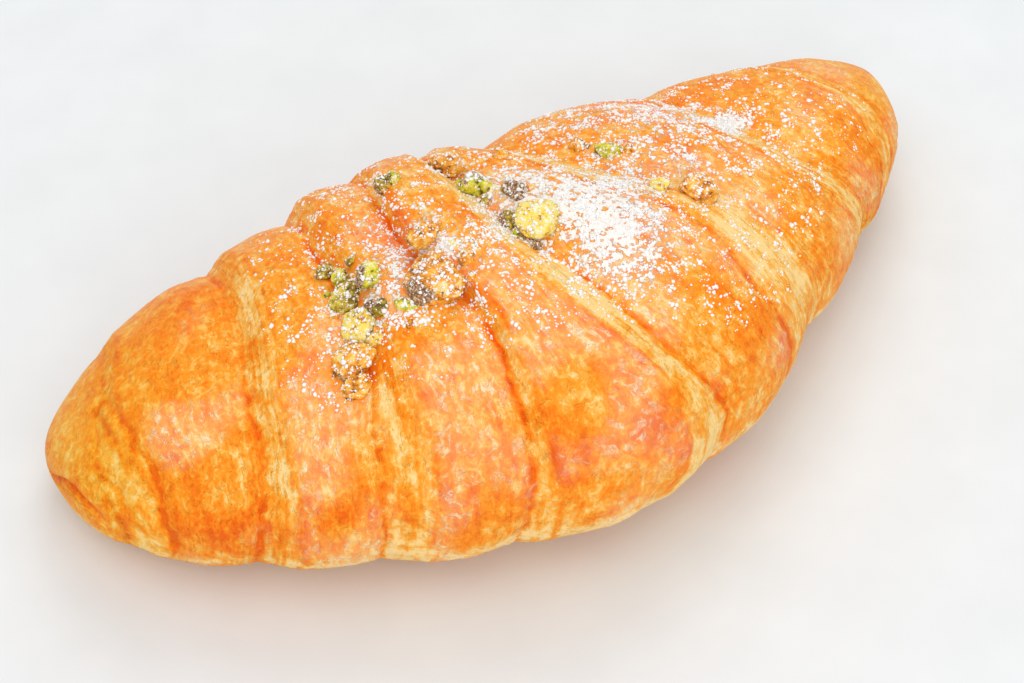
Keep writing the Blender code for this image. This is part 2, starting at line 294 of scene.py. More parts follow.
# Crumbs of nut too small for the model.
NUT_CRUMBS = (
    ("toasted", -39.6, 9, 2.0, 1.5, 1.0, 0),
    ("green", -39.4, 1, 1.8, 1.4, 1.0, 50),
    ("skin", -34.6, -4, 1.8, 1.3, 1.0, 20),
    ("toasted", -33.8, 18, 2.0, 1.4, 1.0, 70),
    ("skin", -37.0, 21, 2.0, 1.5, 1.2, 120),
    ("toasted", -29.2, 20, 1.8, 1.3, 0.9, 40),
    ("toasted", -18.2, 12, 1.6, 1.3, 0.9, 10),
    ("yellow", -19.2, 2, 1.8, 1.4, 0.9, 30),
    ("green", -12.4, -25, 2.0, 1.5, 1.1, 60),
    ("skin", -9.9, -14, 1.8, 1.4, 1.0, 80),
    ("yellow", -7.4, -16, 2.0, 1.6, 1.1, 20),
    ("skin", -6.5, 6, 1.8, 1.4, 1.0, 30),
    ("green", -8.6, 1, 1.8, 1.4, 1.0, 110),
    ("skin", 18.2, -18, 1.8, 1.4, 1.0, 60),
    ("yellow", 24.4, 13, 2.2, 1.7, 1.2, 60),
)
NUT_SINK = 0.5
# How far apart the crust's slope under a nut is read, in place and in angle.
NUT_SLOPE_OVER = (1.5, 3)
NUT_GROWTH = 1.12
NUT_DETAIL = 4
NUT_PLANES = (7, 10)
NUT_CORNERS = 26
NUT_DEPTHS = (0.58, 0.95)
NUT_ROUNDING = 0.15
# Dents in a piece: depth and how many to its half length; DENT_FULL counts as a whole one.
NUT_DENTS = ((0.10, 2.2), (0.07, 5.5), (0.035, 13.0))
DENT_FULL = 0.2
NUT_SEED = 100
SKIN_SEED = 200
# The way most of the papery skins face.
SKIN_SIDE = (-0.9, 0.5, -0.1)
SKIN_WANDER = 0.7

# Powdered sugar: the whole dusted stretch, then denser drifts as (place, reach, angle, reach, density).
SUGAR_AT = (-52, -44, -20, 0, 10, 40, 62, 80)
SUGAR_FRONT = (30, 42, 38, 42, 64, 58, 50, 30)
SUGAR_BACK = -62
SUGAR_BASE = 0.15
SUGAR_MOST = 1.2
# How softly the dusted stretch ends: in angle at the front and back, and in place at the left and right.
SUGAR_FADES = (14, 16, 8, 34)
SUGAR_DRIFTS = (
    (4, 7, 9, 20, 0.75),
    (14, 9, 0, 13, 0.42),
    (-4, 8, -11, 15, 0.45),
    (-25, 9, 0, 14, 0.34),
    (34, 14, -10, 22, 0.40),
    (43, 3, -3, 5, 1.00),
    (24, 8, -38, 14, 0.30),
    (-36, 7, 12, 14, 0.26),
    (-21, 7, 6, 10, 0.30),
    (-6, 5, -4, 9, 0.30),
)
SUGAR_CLUMPS = 3500
SUGAR_GRAINS = 7000
SUGAR_ON_NUTS = 0.13
SUGAR_SEED = 7
# Clusters of sugar, broad and small, by size, level, contrast and shift, and the share that strays from them.
SUGAR_CLUSTERS = ((3.4, 0.38, 2.1, 9), (1.5, 0.50, 2.0, 19))
SUGAR_STRAY = 0.06
# Lumps and grains: radius, how it spreads, and roughness. A lump is flattened, and both stand a little proud.
LUMP_RADIUS = 0.28
LUMP_SPREAD = 0.34
LUMP_SPREAD_MOST = 0.45
LUMP_ROUGHNESS = 0.20
LUMP_FLATNESS = 0.5
LUMP_RISE = 0.1
LUMPS_TOGETHER = (1, 3)
LUMP_SIZES = (0.6, 1.15)
GRAIN_RADIUS = 0.17
GRAIN_SPREAD = 0.30
GRAIN_ROUGHNESS = 0.25
GRAIN_RISE = 0.03

# Colours, as sRGB 0 to 255, from the palest dough to the darkest.
BAKED = (
    (0.02, (251, 215, 146)),
    (0.22, (249, 187, 90)),
    (0.45, (248, 156, 40)),
    (0.70, (247, 130, 20)),
    (0.98, (236, 101, 11)),
)
GOLDEN = (
    (0.02, (250, 208, 110)),
    (0.25, (249, 184, 58)),
    (0.50, (249, 158, 20)),
    (0.98, (236, 112, 4)),
)
# The tint of the painted sheen, a highlight mixed into the crust's colour.
SHEEN = (252, 228, 198)
SUGAR_WHITE = (250, 246, 242)
NUT_SKIN = ((0.30, (74, 46, 30)), (0.48, (146, 104, 70)), (0.64, (214, 184, 150)))
# Each kind of nut: its flesh, then how far over its side the skin begins.
NUT_KINDS = {
    "green": (
        ((0.28, (92, 80, 8)), (0.44, (196, 190, 26)), (0.62, (232, 216, 62)), (0.76, (252, 240, 160))),
        0.55,
    ),
    "yellow": (
        ((0.28, (196, 122, 20)), (0.42, (250, 216, 82)), (0.62, (254, 234, 124)), (0.76, (255, 246, 196))),
        0.80,
    ),
    "toasted": (
        ((0.28, (150, 82, 12)), (0.42, (230, 144, 30)), (0.60, (255, 184, 66)), (0.74, (255, 226, 140))),
        0.72,
    ),
    "skin": (
        ((0.28, (98, 76, 22)), (0.46, (160, 132, 34)), (0.62, (214, 186, 60)), (0.76, (240, 222, 120))),
        0.25,
    ),
}

# Noises of the crust's material, as (scale, detail, roughness, distortion if any). The first three run along
# the strands, each drawn out by its own stretch; the others lie in the object's own space.
THREADS = ((1.5, 0.09, 1.0), (1.0, 5, 0.65, 0.4))
STROKES = ((0.8, 0.22, 1.0), (1.0, 4, 0.60, 1.4))
DABS = ((1.1, 0.42, 1.0), (1.0, 3, 0.55, 0.9))
MOTTLE = (290, 5, 0.62, 1.1)
FLECKS = (720, 3, 0.60, 0.8)
CURL_LINES = (560, 2, 0.55, 1.3)
GRAIN = (1500, 3, 0.60)
POWDER = (1050, 2, 0.50)
POWDER_DRIFT = (380, 3, 0.55)
# How strongly each of them browns the crust, or below zero leaves it pale.
BROWN_MOTTLE = 0.50
BROWN_STROKES = 0.52
BROWN_GRAIN = 0.42
BROWN_FLECKS = 0.13
PALE_FLECKS = -0.20
BROWN_THREADS = 1.2
# Curl lines are made paler only where sheen is painted: painted sheen.
PALE_CURL_LINES = -0.30
# Where each of them begins and is full.
DABS_FROM_TO = (0.50, 0.62)
CURL_LINES_FROM_TO = (0.0, 0.12)
PALE_FLECKS_FROM_TO = (0.52, 0.60)
DARK_FLECKS_FROM_TO = (0.44, 0.37)
SPECKS_FROM_TO = (0.74, 0.81)
# Painted sheen, a pale highlight tint in the colour: on curls, on dabs and all over where sheen is painted,
# then how well sugar covers as a film and as a haze.
SHEEN_ON_CURLS = 0.46
SHEEN_ON_DABS = 0.55
SHEEN_ALL_OVER = 0.13
FILM_COVER = 0.92
HAZE_COVER = 0.35
# The nuts' noises and where their dusting begins and is full.
NUT_PATCH = (380, 3, 0.55)
NUT_MOTTLE = (800, 4, 0.55)
NUT_GRAIN = (2400, 3, 0.55)
NUT_POWDER = (1500, 3, 0.70)
NUT_POWDER_FROM_TO = (0.60, 0.64)
# The sugar's noise and tones.
SUGAR_GRAIN = (3000, 3, 0.55)
SUGAR_TONES = ((0.30, (244, 240, 236)), (0.70, (254, 253, 251)))

# The floor's size in metres, and its noise and tones.
FLOOR_SIZE = 2.4
FLOOR_CELLS = 8
FLOOR_GRAIN = (60, 2, 0.55)
FLOOR_TONES = ((0.3, (226, 229, 230)), (0.7, (230, 233, 234)))
# Soft lights, as name, place in metres, power in watts and width in metres, then the spot they face and the
# strength of the even light around.
SOFTBOXES = (
    ("key", (0.45, 0.55, 0.85), 2.8, 0.6),
    ("overhead", (-0.25, -0.15, 0.95), 2.2, 0.9),
    ("front", (-0.20, -0.80, 0.45), 3.05, 0.9),
)
LIT_SPOT = (0, 0, 0.02)
STUDIO_LIGHT = 0.685

# Camera: the photograph's view, by its turn from the front, height above level, roll, distance and target.
CAMERA_AZIMUTH = -27.94
CAMERA_ELEVATION = 48.15
CAMERA_ROLL = -1.17
CAMERA_DISTANCE = 401.1
CAMERA_TARGET = (-11.5, -6.2, 25.0)
CAMERA_LENS = 85.0


# ---- The loft, as in the model, for whole arrays of places and angles ----


def blend(at, values, x):
    """Smooth value at x through the values given at the rising places in `at`."""
    at, values, x = np.asarray(at, float), np.asarray(values, float), np.asarray(x, float)
    rise = np.diff(values) / np.diff(at)
    slope = np.concatenate(([rise[0]], (rise[:-1] + rise[1:]) / 2, [rise[-1]]))
    i = np.clip(np.searchsorted(at, x) - 1, 0, len(at) - 2)
    span = at[i + 1] - at[i]
    t = np.clip((x - at[i]) / span, 0, 1)
    start = values[i] * (1 + 2 * t) * (1 - t) ** 2 + values[i + 1] * t * t * (3 - 2 * t)
    return start + span * (slope[i] * t * (1 - t) ** 2 - slope[i + 1] * t * t * (1 - t))


def ease(t):
    """A smooth step from 0 to 1."""
    t = np.clip(t, 0, 1)
    return t * t * (3 - 2 * t)


def hump(x, middle, reach):
    """A soft bump: 1 at its middle, and 1/e where x is one reach away."""
    return np.exp(-(((x - middle) / reach) ** 2))


def soft_band(x, band):
    """A soft bump of a given strength."""
    middle, reach, strength = band
    return strength * hump(x, middle, reach)


def edge_at(values, angle):
    """Place of a dough edge at an angle round the section; both ends meet under the croissant."""
    under = (values[0] + values[-1]) / 2
    at = (EDGES_AT[-1] - 360,) + (-180,) + EDGES_AT + (180,) + (EDGES_AT[0] + 360,)
    return blend(at, (values[-1], under) + values + (under, values[0]), angle)


def round_about(values, angle):
    """A value given at the back, crown and front of a section, at any angle."""
    back, crown, front = values
    return blend(STEPS_AT, (back, back, crown, crown, front, front), angle)


def lines_at(angle):
    """Places of every foot and lip from left to right, and the share of step height at each."""
    places, levels = [], []
    for k, (heights, lip, foot) in enumerate(EDGES):
        step = round_about(heights, angle)
        pair = [(edge_at(foot, angle), -step / 2), (edge_at(lip, angle), step / 2)]
        if k >= LEFT_EDGES:
            pair.reverse()
        places += [place for place, _ in pair]
        levels += [level for _, level in pair]
    return np.array(places), np.array(levels)


def is_lip(line):
    """Whether a line of the sixteen is a lip: feet lie outward of their lips."""
    return (line % 2 == 1) == (line // 2 < LEFT_EDGES)


def relief_share(angle):
    """How much of the relief stays: all of it above, none of it underneath."""
    return 1 - ease((np.abs(angle) - RELIEF_FULL) / (RELIEF_ENDS - RELIEF_FULL))


def below_roll_gap(x, angle):
    """Distance below the middle of the open roll end at the left tip."""
    middle = blend(ROLL_GAP_AT, ROLL_GAP_ANGLE, x)
    return np.radians(angle - middle) * blend(STATIONS_AT, HALF_WIDTH, x)


def line_distance(x, y, ends):
    """Distance of every point from the line between two ends."""
    (x0, y0), (x1, y1) = ends
    t = ((x - x0) * (x1 - x0) + (y - y0) * (y1 - y0)) / ((x1 - x0) ** 2 + (y1 - y0) ** 2)
    t = np.clip(t, 0, 1)
    return np.hypot(x - x0 - t * (x1 - x0), y - y0 - t * (y1 - y0))


def surface(x, angle, relief=0.0):
    """Points on the crust in the loft's own coordinates."""
    x, angle = np.broadcast_arrays(np.asarray(x, float), np.asarray(angle, float))
    share = np.abs(x) / HALF
    half_width = blend(STATIONS_AT, HALF_WIDTH, x)
    tip_ratio = np.where(x < 0, LEFT_TIP_RATIO, RIGHT_TIP_RATIO)
    height = 2 * half_width * (HEIGHT_RATIO + (tip_ratio - HEIGHT_RATIO) * share**3)
    middle = np.where(x < 0, LEFT_TIP_LIFT, RIGHT_TIP_LIFT) * share**3 + MIDDLE_AT * height
    tip = np.sqrt(1 - np.clip((share - TIP_START) / (1 - TIP_START), 0, 1) ** TIP_POWER)
    c, s = np.cos(np.radians(angle)), np.sin(np.radians(angle))
    power = 2 / np.where(c > 0, TOP_ROUND, UNDER_ROUND)
    across = half_width * tip * np.copysign(np.abs(s) ** power, s)
    above = height * tip * np.where(c > 0, UPPER_SHARE, LOWER_SHARE) * np.copysign(np.abs(c) ** power, c)
    grow = 1 + relief / np.maximum(np.hypot(across, above), 1e-6)
    behind, ahead = np.maximum(x - TURN_REACH, -HALF), np.minimum(x + TURN_REACH, HALF)
    bend = (blend(STATIONS_AT, SPINE_BEND, ahead) - blend(STATIONS_AT, SPINE_BEND, behind)) / (ahead - behind)
    square = np.hypot(1, bend)
    return np.stack(
        (
            x + across * grow * bend / square,
            blend(STATIONS_AT, SPINE_BEND, x) - across * grow / square,
            np.maximum(middle + above * grow, 0.0),
        ),
        axis=-1,
    )


def perlin(points):
    """Smooth noise, about -0.6 to 0.6, at every point of an array."""
    flat = np.asarray(points, float).reshape(-1, 3).tolist()
    return np.array([noise.noise(p) for p in flat]).reshape(np.shape(points)[:-1])


def drawn_out(places, size, shift):
    """Noise over places on the strands, by its size across and along them."""
    across, along = size
    return perlin(places * (1 / across, 1 / along, 1) + shift)


def soft_wrinkle(p):
    """Broad low wrinkles and finer ones, as in the model."""
    return WRINKLE * perlin(p / WRINKLE_SIZE) + 0.5 * WRINKLE * perlin(p * FINER_WRINKLES / WRINKLE_SIZE)


# ---- The crust ----


class Crust:
    """The crust's grid: places, angles and the fields that its relief and its colour, painted shade and
    painted sheen with it, come from.
    """

    def __init__(self):
        turn = -180 + 360 * np.arange(ROWS) / ROWS
        turn = turn - ROWS_CROWDING * np.sin(np.radians(turn - ROWS_CROWDED_AT))
        self.row_angle = (turn + 180) % 360 - 180
        self.lines, self.levels = lines_at(self.row_angle)
        self.lines = self.lines + self.uneven(WOBBLE_TURNS, WOBBLE) * relief_share(self.row_angle)
        strength = [(LIP_LINES if is_lip(i) else FOOT_LINES)[i // 2] for i in range(len(self.lines))]
        change = np.clip(LINE_MIDDLE + self.uneven(LINE_TURNS, LINE_CHANGE), *LINE_LIMITS)
        self.line_strength = np.array(strength)[:, None] * change
        self.front_lines = lines_at(np.zeros(1))[0][:, 0]
        columns = self.tip_columns(-1) + self.wrap_columns() + self.tip_columns(1)
        for field in ("x", "base", "face", "pale", "rim", "line", "near", "strand"):
            setattr(self, field, np.array([column[field] for column in columns]))
        self.angle = np.broadcast_to(self.row_angle, self.x.shape)
        self.smooth = surface(self.x, self.angle)
        self.make_fields()

    def uneven(self, turns, size):
        """Uneven amounts along every line, with slow and fast changes over so many degrees."""
        slow, fast = turns
        line, angle = np.meshgrid(np.arange(len(self.lines)) * LINES_APART, self.row_angle, indexing="ij")
        slow_part = perlin(np.stack((angle / slow, line, line + slow), -1))
        return size * (slow_part + 0.5 * perlin(np.stack((angle / fast, line, 0 * line + 9), -1)))

    def wrap_columns(self):
        """Columns over the cut faces and the wraps, from the first foot to the last."""
        columns = []
        last = len(self.lines) - 2
        for k in range(last + 1):
            gap = self.front_lines[k + 1] - self.front_lines[k]
            n = FACE_COLUMNS if k % 2 == 0 else max(4, round(gap / WRAP_SPACING))
            columns += [self.wrap_column(k, i / n) for i in range(n)]
        return columns + [self.wrap_column(last, 1.0)]

    def wrap_column(self, k, t):
        """The fields of one column, a share t of the way from line k to the next."""
        left, right = self.lines[k], self.lines[k + 1]
        h0, h1 = self.levels[k], self.levels[k + 1]
        on_face = k % 2 == 0
        start, end = self.front_lines[k : k + 2]
        gap = right - left
        base = h0 + (h1 - h0) * (ease(t) if on_face else t)
        if not on_face:
            base = base + PILLOW * gap * math.sin(math.pi * t)
        ends = ((k, t * gap), (k + 1, (1 - t) * gap))
        face = np.full_like(gap, math.sin(math.pi * t) ** 0.5 if on_face else 0.0)
        return {
            "x": left + gap * t,
            "base": base,
            "face": face,
            "pale": face * round_about(PALE_FACES[k // 2], self.row_angle) if on_face else face,
            "rim": sum(hump(away, 0, RIM_WIDTH) * is_lip(line) for line, away in ends),
            "line": sum(self.line_strength[line] * hump(away, 0, LINE_WIDTH) for line, away in ends),
            "near": np.minimum(t * gap, (1 - t) * gap),
            "strand": np.full_like(gap, start + t * (end - start)),
        }

    def tip_columns(self, side):
        """Columns from the outermost line over a tip: -1 the left, 1 the right."""
        columns = []
        edge = 0 if side < 0 else -1
        for i in range(1, TIP_COLUMNS):
            t = i / TIP_COLUMNS
            out = math.sin(t * math.pi / 2)
            x = self.lines[edge] + (side * HALF - self.lines[edge]) * out
            columns.append(
                {
                    "x": x,
                    "base": self.levels[edge] * (1 - t),
                    "face": np.zeros_like(x),
                    "pale": np.zeros_like(x),
                    "rim": np.zeros_like(x),
                    "line": self.line_strength[edge] * hump(x - self.lines[edge], 0, LINE_WIDTH),
                    "near": np.abs(x - self.lines[edge]),
                    "strand": x,
                }
            )
        return columns if side > 0 else columns[::-1]

    def make_fields(self):
        """Patterns of strands, painted sheen, curls and torn layers, from 0 to 1 or about zero."""
        around = np.radians(self.angle) * STRAND_RADIUS
        self.strand_place = np.stack((self.strand, around, np.zeros_like(around)), -1)
        fine = drawn_out(self.strand_place, FINE_STRANDS, 31)
        self.strands = drawn_out(self.strand_place, STRANDS, 0) + 0.7 * fine
        start, run = LAYERS_GROW
        front = LAYERS_LEAST + (1 - LAYERS_LEAST) * ease((self.angle - start) / run)
        near = np.exp(-self.near / LAYER_REACH) * front
        self.share = relief_share(self.angle)
        self.layers = np.maximum(self.face, near * self.share)
        drift = np.stack([perlin(self.smooth / SWIRL_SIZE + 17 * i) for i in range(3)], -1)
        swirl = self.smooth + SWIRL_REACH * drift
        ridged = np.clip(1 - RIDGE_SHARPNESS * np.abs(perlin(swirl / RIDGE_SIZE)), 0, 1)
        curls = drawn_out(self.strand_place, CURLS, 0.5 * swirl / CURL_SWIRL + 3)
        # Where sheen is painted as a pale highlight tint, kept off the cut faces and the dark lines; blisters
        # rise only there.
        shine = SHINE_LEVEL + SHINE_CONTRAST * perlin(self.smooth / SHINE_SIZE + 5) + self.spots(PAINTED_SHEEN_SPOTS)
        off_lines = 1 - np.clip(SHINE_LOST_AT_LINES * self.line, 0, 1)
        self.painted_sheen = ease(shine) * (1 - self.face) * self.share * off_lines
        self.blister = ridged * self.painted_sheen
        self.curls = ease(CURL_LEVEL + CURL_CONTRAST * curls) * self.share
        self.curls = self.curls * (DULL_CURLS + (1 - DULL_CURLS) * self.painted_sheen)
        below = below_roll_gap(self.x, self.angle)
        at_tip = ease((TORN_FROM - self.x) / TORN_FADE)
        self.gap = at_tip * hump(below, 0, ROLL_GAP_HALF_WIDTH)
        wave = np.cos(2 * math.pi * (below + TORN_WANDER * perlin(self.smooth / 2)) / TORN_SPACING)
        self.torn = wave * at_tip * hump(below, TORN_AT, TORN_REACH)
        self.creases, self.crease_dark = self.creased()
        self.frost = sugar_density(self.x, self.angle)

    def creased(self):
        """Depth of the creases at every point, and how much darker they are drawn."""
        depth, brown = np.zeros(self.x.shape), np.zeros(self.x.shape)
        around = np.radians(self.angle) * HALF_WIDTH[1]
        wander = CREASE_WANDER * perlin(self.smooth / 3 + 70)
        for deep, dark, path in CREASES:
            path = [(x, math.radians(angle) * HALF_WIDTH[1]) for x, angle in path]
            away = [line_distance(self.x + wander, around, ends) for ends in zip(path, path[1:])]
            away = np.min(away, axis=0)
            depth = np.maximum(depth, deep * hump(away, 0, CREASE_WIDTH))
            brown = np.maximum(brown, dark * hump(away, 0, CREASE_DARK_WIDTH))
        return depth, brown

    def spots(self, rows):
        """Sum of soft spots on the crust, each by its place, angle, reaches and strength."""
        return sum(
            strength * hump(self.x, at, reach) * hump(self.angle, turn, round_reach)
            for at, turn, reach, round_reach, strength in rows
        )

    def relief(self):
        """Height of the crust over the smooth loft."""
        fade = np.minimum((HALF - np.abs(self.x)) / TIP_FADE, 1.0)
        model = self.base * self.share + soft_wrinkle(self.smooth) * fade - ROLL_GAP_DEPTH * self.gap
        model = model - self.creases + TORN_HEIGHT * self.torn
        edges = RIM_HEIGHT * self.rim - GROOVE_DEPTH * self.line
        strands = STRAND_HEIGHT * self.strands * self.layers
        skin = BLISTER_HEIGHT * self.blister + CURL_HEIGHT * self.curls - SKIN_DROP
        return model + ((edges + strands) * self.share + skin) * fade

    def browning_and_painted_light(self):
        """0 where the dough is drawn palest, 1 where darkest: its baked colour, with painted shade and
        painted sheen in it.
        """
        patches = sum(deep * perlin(self.smooth / size + shift) for deep, size, shift in BROWN_PATCHES)
        # Painted shade low on the front, then the darker and paler spots.
        spots = soft_band(self.angle, PAINTED_SHADE_LOW_FRONT) + self.spots(BROWN_SHADE_AND_SHEEN_SPOTS)
        seam = soft_band(self.angle, PALE_SEAM)
        # Darker lines, caramel at the lips and painted shade at the feet; paler cut faces.
        edges = BROWN_AND_SHADE_LINES * self.line - self.pale
        streaks = BROWN_STREAKS * self.strands * self.layers
        left = soft_band(self.x, BROWN_LEFT)
        brown = BROWN + left + patches + spots - seam + edges * self.share + streaks + self.crease_dark
        # Paler on blisters and curls: partly their own paler skin, partly painted sheen.
        brown = brown - PALE_BLISTERS * self.blister - PALE_CURLS * self.curls
        # Painted shade inside the open roll end; torn layers paler and darker by turns.
        brown = brown + PAINTED_SHADE_IN_GAP * self.gap - PALE_TORN * self.torn
        under = ease((np.abs(self.angle) - UNDER_FROM) / UNDER_FADE)
        return np.clip(brown * (1 - under) + (BROWN_UNDER + 0.4 * patches) * under, 0, 1)

    def gold(self):
        """How far the colour leans to yellow, at the tips and on the cut faces."""
        tips = sum(ease((self.x - start) / run) for start, run in GOLD_TIPS)
        return np.clip(GOLD_AT_TIPS * tips + GOLD_ON_FACES * self.pale, 0, 1)

    def build(self):
        """The crust's mesh, closed by a nose at each tip, with the fields that its material reads."""
        points = surface(self.x, self.angle, self.relief()) - ORIGIN
        columns, rows = self.x.shape
        near = np.arange(columns * rows).reshape(columns, rows)
        far = np.roll(near, -1, axis=1)
        quads = np.stack((near[:-1], near[1:], far[1:], far[:-1]), -1).reshape(-1, 4)
        noses = surface(np.array((-HALF, HALF)), np.zeros(2)) - ORIGIN
        left = [(columns * rows, int(a), int(b)) for a, b in zip(near[0], far[0])]
        right = [(columns * rows + 1, int(b), int(a)) for a, b in zip(near[-1], far[-1])]
        mesh = bpy.data.meshes.new("crust")
        everything = inside_model(np.concatenate((points.reshape(-1, 3), noses)))
        mesh.from_pydata((everything * MM).tolist(), [], quads.tolist() + left + right)
        add_field(mesh, "browning_and_painted_light", self.browning_and_painted_light())
        add_field(mesh, "gold", self.gold())
        add_field(mesh, "layers", self.layers)
        add_field(mesh, "painted_sheen", self.painted_sheen)
        add_field(mesh, "frost", self.frost)
        add_field(mesh, "strand", self.strand_place)
        return finish_mesh(mesh, crust_material())


def inside_model(points):
    """Points held inside the model's box."""
    low, high = (np.array(corner) / MM for corner in cad_box)
    return np.clip(points, low, high)


def add_field(mesh, name, values):
    """A number or a vector at every point; the two noses take one from their ring."""
    flat = np.concatenate((values.reshape(-1, *values.shape[2:]), values[0, :1], values[-1, :1]))
    kind, key = ("FLOAT", "value") if values.ndim == 2 else ("FLOAT_VECTOR", "vector")
    mesh.attributes.new(name, kind, "POINT").data.foreach_set(key, flat.astype(np.float32).ravel())


def finish_mesh(mesh, material):
    """Turn the faces outward, shade smooth and put the mesh in the scene on the croissant's one body."""
    bm = bmesh.new()
    bm.from_mesh(mesh)
    bmesh.ops.recalc_face_normals(bm, faces=bm.faces[:])
    bm.to_mesh(mesh)
    bm.free()
    mesh.shade_smooth()
    mesh.materials.append(material)
    piece = bpy.data.objects.new(mesh.name, mesh)
    bpy.context.scene.collection.objects.link(piece)
    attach(piece, "root")
    return piece


# ---- Powdered sugar ----


def sugar_density(x, angle):
    """How thickly sugar lies, from 0 to about 1, over the crust's places and angles."""
    front, back, left, right = SUGAR_FADES
    inside = ease((blend(SUGAR_AT, SUGAR_FRONT, x) - angle) / front) * ease((angle - SUGAR_BACK) / back)
    inside = inside * ease((x - SUGAR_AT[0]) / left) * ease((SUGAR_AT[-1] - x) / right)
    drifts = sum(d * hump(x, at, reach) * hump(angle, a, turn) for at, reach, a, turn, d in SUGAR_DRIFTS)
    return inside * np.clip(SUGAR_BASE + drifts, 0, SUGAR_MOST)


def face_points(mesh, count, weight, rng):
    """Random places on a mesh in metres, more where weight is high, and the normals there."""
    mesh.calc_loop_triangles()
    corners = np.array([triangle.vertices[:] for triangle in mesh.loop_triangles])
    area = np.array([triangle.area for triangle in mesh.loop_triangles])
    co = np.array([v.co for v in mesh.vertices], np.float32)
    chance = area * weight[corners].mean(1)
    face = rng.choice(len(area), count, p=chance / chance.sum())
    a, b = rng.random(count), rng.random(count)
    flip = a + b > 1
    a, b = np.where(flip, 1 - a, a), np.where(flip, 1 - b, b)
    p0, p1, p2 = (co[corners[face, i]] for i in range(3))
    normal = np.cross(p1 - p0, p2 - p0)
    normal = normal / np.maximum(np.linalg.norm(normal, axis=1, keepdims=True), 1e-12)
    return p0 + a[:, None] * (p1 - p0) + b[:, None] * (p2 - p0), normal


def lump_template(subdivisions):
    """Points and faces of a unit ball."""
    bm = bmesh.new()
    bmesh.ops.create_icosphere(bm, subdivisions=subdivisions, radius=1.0)
    points = np.array([v.co for v in bm.verts])
    faces = np.array([[v.index for v in f.verts] for f in bm.faces])
    bm.free()
    return points, faces


def grain_template():
    """Points and faces of a unit octahedron."""
    points = np.concatenate((np.eye(3), -np.eye(3)))
    faces = [(0, 1, 2), (1, 3, 2), (3, 4, 2), (4, 0, 2), (1, 0, 5), (3, 1, 5), (4, 3, 5), (0, 4, 5)]
    return points, np.array(faces)


def sugar_lumps(places, normals, rng):
    """Lumps of sugar, alone or in pairs, pressed flat along the surface."""
    unit, faces = lump_template(1)
    points = []
    for place, normal in zip(places / MM, normals):
        size = LUMP_RADIUS * math.exp(min(LUMP_SPREAD * rng.standard_normal(), LUMP_SPREAD_MOST))
        side = np.cross(normal, (0.3, 0.5, 0.8))
        side = side / np.linalg.norm(side)
        other = np.cross(normal, side)
        for _ in range(rng.integers(*LUMPS_TOGETHER)):
            shift = rng.standard_normal(2) * size
            radius = size * rng.uniform(*LUMP_SIZES)
            lump = unit * (1 + LUMP_ROUGHNESS * rng.standard_normal(len(unit)))[:, None] * radius
            flat = lump[:, :1] * side + lump[:, 1:2] * other + LUMP_FLATNESS * lump[:, 2:] * normal
            points.append(place + side * shift[0] + other * shift[1] + normal * radius * LUMP_RISE + flat)
    return repeated(points, faces)


def sugar_grains(places, normals, rng):
    """Single grains, each a small rough bipyramid half sunk in the surface."""
    unit, faces = grain_template()
    radius = GRAIN_RADIUS * np.exp(GRAIN_SPREAD * rng.standard_normal(len(places)))
    shape = unit[None] * (1 + GRAIN_ROUGHNESS * rng.standard_normal((len(places), len(unit), 1)))
    grains = places[:, None] / MM + radius[:, None, None] * shape + GRAIN_RISE * normals[:, None]
    return repeated(grains, faces)


def repeated(points, faces):
    """Copies of a template's points as one list, with the template's faces for each."""
    points = np.asarray(points)
    shift = np.arange(len(points))[:, None, None] * points.shape[1]
    return points.reshape(-1, 3), (faces[None] + shift).reshape(-1, faces.shape[1])


def make_sugar(crust, frost, nuts):
    """Sugar over the crust's mesh, more where it is frosted and in clusters, and over the nuts' tops."""
    rng = np.random.default_rng(SUGAR_SEED)
    co = np.array([v.co for v in crust.vertices]) / MM
    broad, small = (
        ease(level + contrast * perlin(co / size + shift)) for size, level, contrast, shift in SUGAR_CLUSTERS
    )
    weight = np.concatenate((frost.reshape(-1), (0, 0))) * (SUGAR_STRAY + broad * small)
    for name, count, shape in (
        ("powdered_sugar", SUGAR_CLUMPS, sugar_lumps),
        ("powdered_sugar_grains", SUGAR_GRAINS, sugar_grains),
    ):
        places, normals = face_points(crust, count, weight, rng)
        on_nuts, nut_normals = face_points(nuts, round(count * SUGAR_ON_NUTS), nut_tops(nuts), rng)
        places = np.concatenate((places, on_nuts))
        points, faces = shape(places, np.concatenate((normals, nut_normals)), rng)
        mesh = bpy.data.meshes.new(name)
        mesh.from_pydata((inside_model(points) * MM).tolist(), [], faces.tolist())
        finish_mesh(mesh, sugar_material(name))


def nut_tops(nuts):
    """Weight of each nut vertex by how much it faces up."""
    return np.array([max(v.normal.z - 0.1, 0.0) for v in nuts.vertices])


# ---- Chopped pistachios ----


def crust_height(x, angle):
    """Relief of the model's crust at one place."""
    lines, levels = (line[:, 0] for line in lines_at(np.array([float(angle)])))
    base = 0.0
    for k in range(len(lines) - 1):
        if lines[k] <= x <= lines[k + 1]:
            t = (x - lines[k]) / (lines[k + 1] - lines[k])
            base = levels[k] + (levels[k + 1] - levels[k]) * (ease(t) if k % 2 == 0 else t)
    return base * relief_share(angle) + soft_wrinkle(surface(x, angle))


